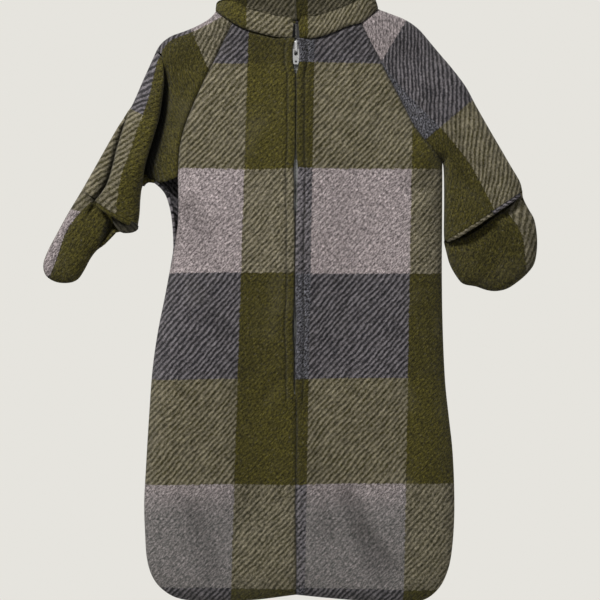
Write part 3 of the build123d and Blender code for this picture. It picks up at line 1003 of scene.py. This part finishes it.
def build_sleeves():
    # Front halves.
    arm = smooth_curve(LEFT_ARM)
    nearest = int(np.argmin(np.linalg.norm(arm - LEFT_FOLD[0], axis=1)))
    crease_start = int(np.argmin(np.linalg.norm(arm - LEFT_CREASE[0], axis=1)))
    wrist = smooth_curve(LEFT_INNER)
    armpit = int(np.argmin(np.linalg.norm(wrist - LEFT_FOLD[-1], axis=1)))
    curves = [arm[nearest : crease_start + 1], LEFT_CREASE[1:], backwards(LEFT_HEM)]
    curves += [wrist[1 : armpit + 1], LEFT_FOLD[::-1][1:-1]]
    left = cloth_piece(
        "sleeve_left_front_cloth", curves, lambda p: front_y(p, "flap"), uv_sleeve_left, spacing=3.6
    )
    tucked = LEFT_FOLD - np.array([9.0, 0]) * step01(np.arange(len(LEFT_FOLD)), 0, 8)[:, None]
    top = neck_part(COLLAR_LOW["left"], -87, -70)
    curves = [RAGLAN["left"], smooth_curve([(-129, -182), (-142, -187), (-156, -188)])[1:]]
    curves += [wrist[armpit:][::-1][1:], tucked[::-1][1:], arm[: nearest + 1][::-1], top]
    inner = cloth_piece(
        "sleeve_left_inner_cloth",
        curves,
        lambda p: front_y(p, "inner"),
        uv_shoulder_left,
        spacing=3.6,
        shade=inner_shade,
    )
    top = neck_part(COLLAR_LOW["right"], 72, 89.9)
    curves = [RAGLAN["right"][::-1], top, smooth_curve(RIGHT_ARM)[::-1], backwards(RIGHT_HEM)]
    curves += [smooth_curve(RIGHT_INNER)[::-1][1:-1]]
    name = "sleeve_right_front_cloth"
    right = cloth_piece(name, curves, front_y, uv_sleeve_right, spacing=3.6, shade=seam_shade)
    # Back halves, which go on past the cuff on the left where the outer edge is folded forward.
    back_left = [smooth_curve(BACK_RAGLAN_LEFT), backwards(LEFT_INNER)]
    back_left += [smooth_curve(LEFT_CUFF)[1:], backwards(LEFT_ARM)]
    back_left += [neck_part(BACK_COLLAR_LOW, -87, -72)]
    back_right = [smooth_curve(BACK_RAGLAN_RIGHT)[::-1], neck_part(BACK_COLLAR_LOW, 74, 89)]
    back_right += [smooth_curve(RIGHT_ARM)[::-1], backwards(RIGHT_HEM)]
    back_right += [smooth_curve(RIGHT_INNER)[::-1][1:-1]]
    backs = [
        cloth_piece("sleeve_left_back_cloth", back_left, back_y, uv_sleeve_left, spacing=5, front=False),
        cloth_piece("sleeve_right_back_cloth", back_right, back_y, uv_sleeve_right, spacing=5, front=False),
    ]
    # The strip of the back half that lies in front, outside the crease of the left sleeve.
    edge = smooth_curve(LEFT_ARM[8:])
    tucked = LEFT_CREASE + np.array([7.0, -2.0]) * step01(np.arange(len(LEFT_CREASE)), 0, 6)[:, None]
    curves = [tucked[::-1], edge[1:], smooth_curve([(-236, -197), tuple(tucked[-1])])[1:-1]]
    strip = cloth_piece(
        "sleeve_left_turned_strip",
        curves,
        lambda p: front_y(p, "strip"),
        uv_sleeve_left,
        spacing=3.6,
        shade=strip_shade,
    )
    parts = [(obj, "sleeve_left") for obj in (left, inner, strip, backs[0])]
    parts += [(obj, "sleeve_right") for obj in (right, backs[1])]
    for obj, node in parts:
        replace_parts(in_fleece(obj), node)
        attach(obj, "bag")


def tube_along(path, radius_y, radius_z, turns=10, face_v=0.0):
    """A flattened tube along a 3-D path: (vertices, faces, uvs)."""
    path = np.asarray(path, float)
    tangents = np.gradient(path, axis=0)
    tangents /= np.linalg.norm(tangents, axis=1)[:, None]
    back = np.array([0.0, 1.0, 0.0])
    verts, uv = [], []
    run = run_along(path)
    for k, (p, t) in enumerate(zip(path, tangents)):
        side = np.cross(back, t)
        side /= np.linalg.norm(side)
        taper = min(1.0, 0.55 + 0.45 * min(k, len(path) - 1 - k) / 2)
        for j in range(turns):
            a = 2 * math.pi * j / turns
            verts.append(p + taper * (back * radius_y * math.cos(a) + side * radius_z * math.sin(a)))
            uv.append((run[k], face_v + 4 * a))
    faces = []
    for k in range(len(path) - 1):
        for j in range(turns):
            a, b = k * turns + j, k * turns + (j + 1) % turns
            faces.append((a, b, b + turns, a + turns))
    last = (len(path) - 1) * turns
    faces.append(tuple(reversed(range(turns))))
    faces.append(tuple(range(last, last + turns)))
    return verts, faces, uv


FACING = [
    (-202, -218), (-188, -226), (-174, -234), (-173, -239), (-179, -243), (-191, -243),
    (-198, -236), (-202, -227),
]


def facing_y(points):
    """The turned-up end of the left sleeve curls forward under the hem."""
    d, _, _ = distance(points, smooth_curve(LEFT_HEM))
    return front_y(points * 0 + np.array([-190.0, -222.0])) + 3.4 + 5.0 * step01(d, 6, 20)


# Painted shade on the turned-up facing, darkest under the hem.
def facing_shade(points):
    return 0.86 - 0.5 * step01(distance(points, smooth_curve(LEFT_HEM))[0], 7, 17)


def uv_facing(p):
    return p[:, 0] + 215, 0.35 * WEFT_BAND + p[:, 1] + 220


def build_hems():
    """The sleeve hems: cloth turned under and rolled, with the striped inner face showing."""
    loop = smooth_curve(FACING + FACING[:1])
    name = "sleeve_left_facing_cloth"
    facing = cloth_piece(name, [loop], facing_y, uv_facing, spacing=3, shade=facing_shade)
    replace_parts(in_fleece(facing), "sleeve_left_hem")
    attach(facing, "bag")
    for side, curve, shift in (("left", LEFT_HEM, (125.0, 20.0)), ("right", RIGHT_HEM, (150.0, 216.0))):
        line = smooth_curve(curve, 3.0)[1:-1]
        y = front_y(line, "flap" if side == "left" else None) + 2.6
        wave = 0.8 * np.sin(np.arange(len(line)) * 0.9)
        path = np.stack([line[:, 0], y, line[:, 1] - 1.8 + 0.3 * wave], axis=1)
        verts, faces, uv = tube_along(path, 2.5, 3.0)
        uv = [(u + shift[0], v + shift[1]) for u, v in uv]
        obj = to_mesh(f"sleeve_{side}_hem_roll", verts, faces, uv=uv)
        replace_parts(in_fleece(obj), f"sleeve_{side}_hem")
        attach(obj, "bag")


# ---- Mittens ----
def mitten_height(points, front, mouth):
    """The mitten's two faces; its front starts behind the sleeve hem."""
    t = np.clip(edge_distance(points) / 20, 0, 1)
    bulge = 12.5 * np.sqrt(1 - (1 - t) ** 2)
    free = step01(edge_distance(points), 0, 10)
    bulge = bulge + free * (1.1 * waves(points, 52, 8 if front else 9) + 0.4 * waves(points, 19, 10))
    bulge = bulge + 0.08 * waves(points, 7, 11)
    bulge = bulge - 1.8 * bell(distance(points, LEFT_TURN)[0], 2.2) * free * front
    d, s, _ = distance(points, LEFT_LOBE)
    lobe = step01(d * s, -1.5, 2.5) * (d < 30) * (points[:, 0] < 0) * front
    bulge = bulge - lobe * np.minimum(7.5, bulge)
    if not front:
        d, _, _ = distance(points, mouth)
        full = cushion(points, SACK_DEPTH, ARM_DEPTH)
        join = 1 - step01(d, 0, 26)
        return bulge * (1 - join) + full * join
    return -(bulge - 1.0) + 0.5


def mouth_height(points, mouth):
    """The front of a mitten dips under the sleeve hem at its mouth."""
    y = mitten_height(points, True, mouth)
    d, _, _ = distance(points, mouth)
    open_part = step01(points[:, 0], -227, -214)
    y = y + 5.0 * (1 - step01(d, 0, 15)) * open_part
    join = (1 - step01(d, 0, 24)) * (1 - open_part)
    return y * (1 - join) + front_y(points, "strip") * join


def build_mittens():
    for side, hem_curve, outline, uv_of, face_uv in (
        ("left", LEFT_CUFF, LEFT_MITTEN, uv_mitten_left, uv_mitten_left_faces),
        ("right", RIGHT_HEM, RIGHT_MITTEN, uv_mitten_right, None),
    ):
        hem = smooth_curve(hem_curve)
        rim = smooth_curve(outline)
        if side == "left":
            close = smooth_curve([(-199, -243), (-186, -239), (-174, -236)])
            back_curves = [hem, rim[1:], close[1:-1]]
            mouth = smooth_curve([(-236, -197), (-220, -208), (-208, -222), (-199, -243)])
            front_curves = [rim, mouth[::-1][1:-1]]
        else:
            back_curves = [hem, rim[::-1][1:-1]]
            mouth = [(249, -197), (238, -212), (215, -228), (190, -246), (172, -252), (163, -252)]
            mouth = smooth_curve(mouth)
            front_curves = [mouth, rim[1:-1]]
        back = cloth_piece(
            f"mitten_{side}_back_cloth",
            back_curves,
            lambda p: mitten_height(p, False, hem),
            uv_of,
            spacing=5,
            front=False,
        )
        front = cloth_piece(
            f"mitten_{side}_front_cloth",
            front_curves,
            lambda p: mouth_height(p, mouth),
            uv_of,
            spacing=4,
            face_uv_of=face_uv,
            shade=mitten_shade,
        )
        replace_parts(in_fleece(front), f"mitten_{side}_front")
        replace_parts(in_fleece(back), f"mitten_{side}_back")
        joint = JOINTS[f"mitten_{side}_fold"]
        pivot, axis = np.array(joint["pos_m"]), np.array(joint["axis"])
        down = np.array([axis[2], 0, -axis[0]])
        down = down if down[2] < 0 else -down
        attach(front, f"mitten_{side}")
        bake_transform(back)


# ---- Collar ----
COLLAR_TOP_LEFT = [
    (-88, 2), (-86, 9), (-77, 11), (-68, 10.5), (-57, 3.5), (-50, 0.5), (-38, -2), (-20, -6.5),
    (-8, -7.5), (-4.5, -10), (-2.6, -15),
]
COLLAR_TOP_RIGHT = [
    (2.6, -14), (4.2, -8), (8, -5.5), (19, -6.5), (31, -3.5), (50, 3), (60, 8), (70, 13), (79, 16),
    (86, 13), (90, 5),
]
COLLAR_TOP_BACK = [
    (-88, 2), (-84, 12), (-70, 17), (-40, 19), (0, 19.5), (40, 19), (72, 18), (86, 13), (90, 5),
]


COLLAR_ROWS = 8
COLLAR_THICKNESS = 4.6
COLLAR_ROLL = 1.6


def band(name, low, high, face):
    """A standing collar band between a lower and an upper curve, doubled over at the top."""
    count = max(len(low), len(high))
    pick = np.linspace(0, 1, count)

    def even(line):
        run = run_along(line)
        return np.stack([np.interp(pick * run[-1], run, line[:, k]) for k in range(2)], axis=1)

    low, high = even(low), even(high)
    rise = np.linspace(0, 1, COLLAR_ROWS)
    profile = []
    for t in rise:
        profile.append((t, COLLAR_ROLL * math.sin(math.pi * min(t, 0.999)) ** 0.7))
    profile += [(1.02, -0.5 * COLLAR_THICKNESS * face), (0.98, -COLLAR_THICKNESS)]
    for t in rise[::-1][1:]:
        profile.append((t, -COLLAR_THICKNESS + 0.5 * math.sin(math.pi * t)))
    verts, uv, shade = [], [], []
    for k in range(count):
        for row, (t, out) in enumerate(profile):
            p = low[k] + (high[k] - low[k]) * t
            y = collar_plane(p[0], face) + face * out
            verts.append((p[0], y, p[1]))
            uv.append(collar_uv(p, t))
            # Painted shade on the inside of the back collar.
            shade.append(0.5 if face > 0 and row > COLLAR_ROWS else 0.0)
    width = len(profile)
    faces = []
    for k in range(count - 1):
        for r in range(width - 1):
            a = k * width + r
            quad = (a, a + width, a + width + 1, a + 1)
            faces.append(quad if face < 0 else tuple(reversed(quad)))
    ends = [tuple(range(width)), tuple(reversed(range((count - 1) * width, count * width)))]
    faces += ends if face < 0 else [tuple(reversed(e)) for e in ends]
    for a in range(0, (count - 1) * width, width):
        quad = (a, a + width, a + 2 * width - 1, a + width - 1)
        faces.append(tuple(reversed(quad)) if face < 0 else quad)
    obj = to_mesh(name, verts, faces, uv=uv)
    set_shade(obj, shade)
    return obj


def collar_plane(x, face):
    """How far forward or back the collar stands at x; it closes to the middle plane at the sides."""
    t = min(1.0, max(0.0, (90 - abs(x)) / 40))
    return face * 23.0 * math.sqrt(1 - (1 - t) ** 2)


def collar_uv(p, t):
    """Tan stripes along most of the band, plain olive at its left end and by the zip on the right."""
    return (54 - p[0] if p[0] < 0 else 121 - p[0], 0.5 * WEFT_BAND + 24 * t)


def build_collar():
    pieces = []
    for side, low, top in (
        ("left", COLLAR_SEAM_LEFT, COLLAR_TOP_LEFT),
        ("right", COLLAR_SEAM_RIGHT, COLLAR_TOP_RIGHT),
    ):
        low_line, high_line = smooth_curve(low, 2.0), smooth_curve(top, 2.0)
        if side == "left":
            low_line = low_line[low_line[:, 0] < -2.4]
        else:
            low_line = low_line[low_line[:, 0] > 2.4]
        obj = band(f"collar_{side}_cloth", low_line, high_line, -1)
        pieces.append((obj, side))
    back = band("collar_back_cloth", BACK_COLLAR_LOW, smooth_curve(COLLAR_TOP_BACK, 2.0), 1)
    for obj, side in pieces:
        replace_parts(in_fleece(obj), f"collar_{side}")
        folds_open(obj)
    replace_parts(in_fleece(back), "collar_back")
    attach(back, "bag")


# ---- Zip ----
def spread(z):
    """How far each coil stands from its closed place: the halves part above the slider."""
    return 0.05 * step01(z, SLIDER_HIGH[2] - 5, SLIDER_HIGH[2] + 6)


COIL_PITCH = 1.55
COIL_REACH = 1.25  # half the width of a turn
COIL_RISE = 0.75  # half its depth
COIL_YARN = 0.33
TAPE_INNER = 0.06
TAPE_OUTER = 14.0


def build_zip():
    tape_y = (TAPE_LOW[1], TAPE_HIGH[1])
    for side, sign in (("left", -1), ("right", 1)):
        z = np.arange(-16.0, TAPE_LOW[2], -2.0)
        verts, faces = [], []
        for k, height in enumerate(z):
            inner, outer = TAPE_INNER + spread(height), TAPE_OUTER
            for x, y in ((inner, tape_y[0]), (outer, tape_y[0]), (outer, tape_y[1]), (inner, tape_y[1])):
                verts.append((sign * x, y, height))
        for k in range(len(z) - 1):
            for j in range(4):
                a, b = 4 * k + j, 4 * k + (j + 1) % 4
                quad = (a, b, b + 4, a + 4)
                faces.append(quad if sign < 0 else tuple(reversed(quad)))
        last = tuple(range(4 * (len(z) - 1), 4 * len(z)))
        faces.append((0, 3, 2, 1) if sign < 0 else (0, 1, 2, 3))
        faces.append(last if sign < 0 else last[::-1])
        tape = to_mesh(f"zip_tape_{side}_woven", verts, faces, smooth=False)
        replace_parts(dress(tape, TAPE), f"zip_tape_{side}", f"zip_tape_foot_{side}")
        folds_open(tape)
        # One long coil of stiff yarn, laid in flat loops that reach the middle.
        low, high = ZIP_FOOT + 3.5, SLIDER_HIGH[2] + 1.0
        turns = (high - low) / COIL_PITCH
        steps = int(turns * 10)
        t = np.arange(steps) / 10.0
        height = low + t * COIL_PITCH
        middle = 1.45 + spread(height)
        x = sign * (middle + COIL_REACH * np.cos(2 * math.pi * t))
        y = COIL_LOW[1] + 1.15 + COIL_RISE * np.sin(2 * math.pi * t)
        path = np.stack([x, y, height], axis=1)
        verts, faces, _ = tube_along(path, COIL_YARN, COIL_YARN, turns=5)
        coil = to_mesh(f"zip_coil_{side}_yarn", verts, faces)
        nodes = [f"zip_coil_{side}"] + (["zip_coil_foot"] if side == "left" else [])
        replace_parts(dress(coil, COIL), *nodes)
        folds_open(coil)


def keep_cad():
    """The hard zip parts and labels are shown as the CAD made them, with softened edges."""
    for name in (
        "zip_slider_body",
        "zip_slider_bridge",
        "zip_lock_spring",
        "zip_pull",
        "zip_top_stop_left",
        "zip_top_stop_right",
        "zip_bottom_stop",
    ):
        obj = dress(bpy.data.objects[name], ENAMEL if "top_stop" in name else METAL)
        bevel = obj.modifiers.new("soft_edges", "BEVEL")
        bevel.width = 0.12 * MM
        bevel.segments = 2
        bevel.limit_method = "ANGLE"
        bevel.harden_normals = False
    for name in ("neck_label", "care_label"):
        dress(bpy.data.objects[name], LABEL)


# ---- Stitching ----
def stitch_row(name, line, height, thread=0.32, length=3.0, side=None):
    """A row of topstitches lying in the cloth along a line."""
    line = smooth_curve(line, 0.5)
    run = run_along(line)
    at = np.arange(length / 2, run[-1] - length / 2, length)
    verts, faces = [], []
    for start in at:
        s = start + np.linspace(-0.40, 0.40, 5) * length
        p = np.stack([np.interp(s, run, line[:, k]) for k in range(2)], axis=1)
        y = height(p) + np.array([0.40, 0.0, -0.05, 0.0, 0.40])
        v, f, _ = tube_along(np.stack([p[:, 0], y, p[:, 1]], axis=1), thread, thread, turns=5)
        faces += [tuple(i + len(verts) for i in face) for face in f]
        verts += list(v)
    obj = to_mesh(name, verts, faces)
    dress(obj, THREAD)
    if side:
        folds_open(obj)
    else:
        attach(obj, "bag")


def build_stitching():
    z = np.linspace(-38, ZIP_END + 4, 60)
    for side, sign in (("left", -1), ("right", 1)):
        x = zip_middle(z) + sign * (zip_gap(z) + STITCH_LINE)
        line = list(zip(x, z)) + [(sign * 7.0, ZIP_END - 1), (sign * 2.5, ZIP_END - 4)]
        stitch_row(f"zip_topstitch_{side}", line, front_y, side=side)
    for side, hem, layer in (("left", LEFT_HEM, "flap"), ("right", RIGHT_HEM, None)):
        line = smooth_curve(hem)[2:-2] + np.array([2.4, 5.6] if side == "left" else [-2.8, 5.4])
        stitch_row(f"sleeve_{side}_hem_stitches", line, lambda p: front_y(p, layer))


# ---- Camera, light and floor ----
FRAME_CENTRE = Vector((4.4 * MM, 0, -316.8 * MM))
FRAME_HIGH = 660 * MM
FLOOR_Z = -0.80
FLOOR_RADIUS = 0.95
SKY_LIGHT = 0.30


def build_stage():
    floor_mesh = bpy.data.meshes.new("floor")
    corners = 96
    turns = [2 * math.pi * k / corners for k in range(corners)]
    rim = [(FLOOR_RADIUS * math.cos(a), FLOOR_RADIUS * math.sin(a), FLOOR_Z) for a in turns]
    floor_mesh.from_pydata(rim, [], [tuple(range(corners))])
    floor = bpy.data.objects.new("floor", floor_mesh)
    bpy.context.scene.collection.objects.link(floor)
    n = Nodes("pale_floor")
    n.set(Base_Color=rgb(176, 175, 171), Roughness=0.9)
    dress(floor, n.mat)
    for name, place, size, energy, tint in (
        ("key", (-0.9, -1.3, 1.2), 0.45, 43, (1.0, 0.985, 0.96)),
        ("fill", (1.4, -1.9, 0.6), 1.0, 6, (0.97, 0.985, 1.0)),
        ("behind", (0.9, 2.2, 1.4), 1.2, 60, (1.0, 0.99, 0.97)),
    ):
        light = bpy.data.lights.new(name, "AREA")
        light.size, light.energy, light.color = size, energy, tint
        obj = bpy.data.objects.new(name, light)
        obj.location = place
        obj.rotation_euler = (Vector((0, 0, -0.32)) - Vector(place)).to_track_quat("-Z", "Y").to_euler()
        bpy.context.scene.collection.objects.link(obj)
    world = bpy.data.worlds.new("pale")
    world.use_nodes = True
    tree = world.node_tree
    background = tree.nodes["Background"]
    background.inputs["Color"].default_value = rgb(233, 231, 225)
    seen = tree.nodes.new("ShaderNodeLightPath").outputs["Is Camera Ray"]
    strength = tree.nodes.new("ShaderNodeMath")
    strength.operation = "MULTIPLY_ADD"
    tree.links.new(seen, strength.inputs[0])
    strength.inputs[1].default_value = 0.97 - SKY_LIGHT
    strength.inputs[2].default_value = SKY_LIGHT
    tree.links.new(strength.outputs[0], background.inputs["Strength"])
    bpy.context.scene.world = world
    camera = bpy.data.cameras.new("camera")
    camera.lens, camera.sensor_width = 120, 36
    away = FRAME_HIGH * camera.lens / camera.sensor_width
    obj = bpy.data.objects.new("camera", camera)
    obj.location = FRAME_CENTRE + Vector((0, -away, 0))
    obj.rotation_euler = (math.radians(90), 0, 0)
    bpy.context.scene.collection.objects.link(obj)
    bpy.context.scene.camera = obj
    bpy.context.scene.view_settings.view_transform = "Standard"


build_fronts()
build_back()
build_sleeves()
build_hems()
build_mittens()
build_collar()
build_zip()
build_stitching()
keep_cad()
build_stage()
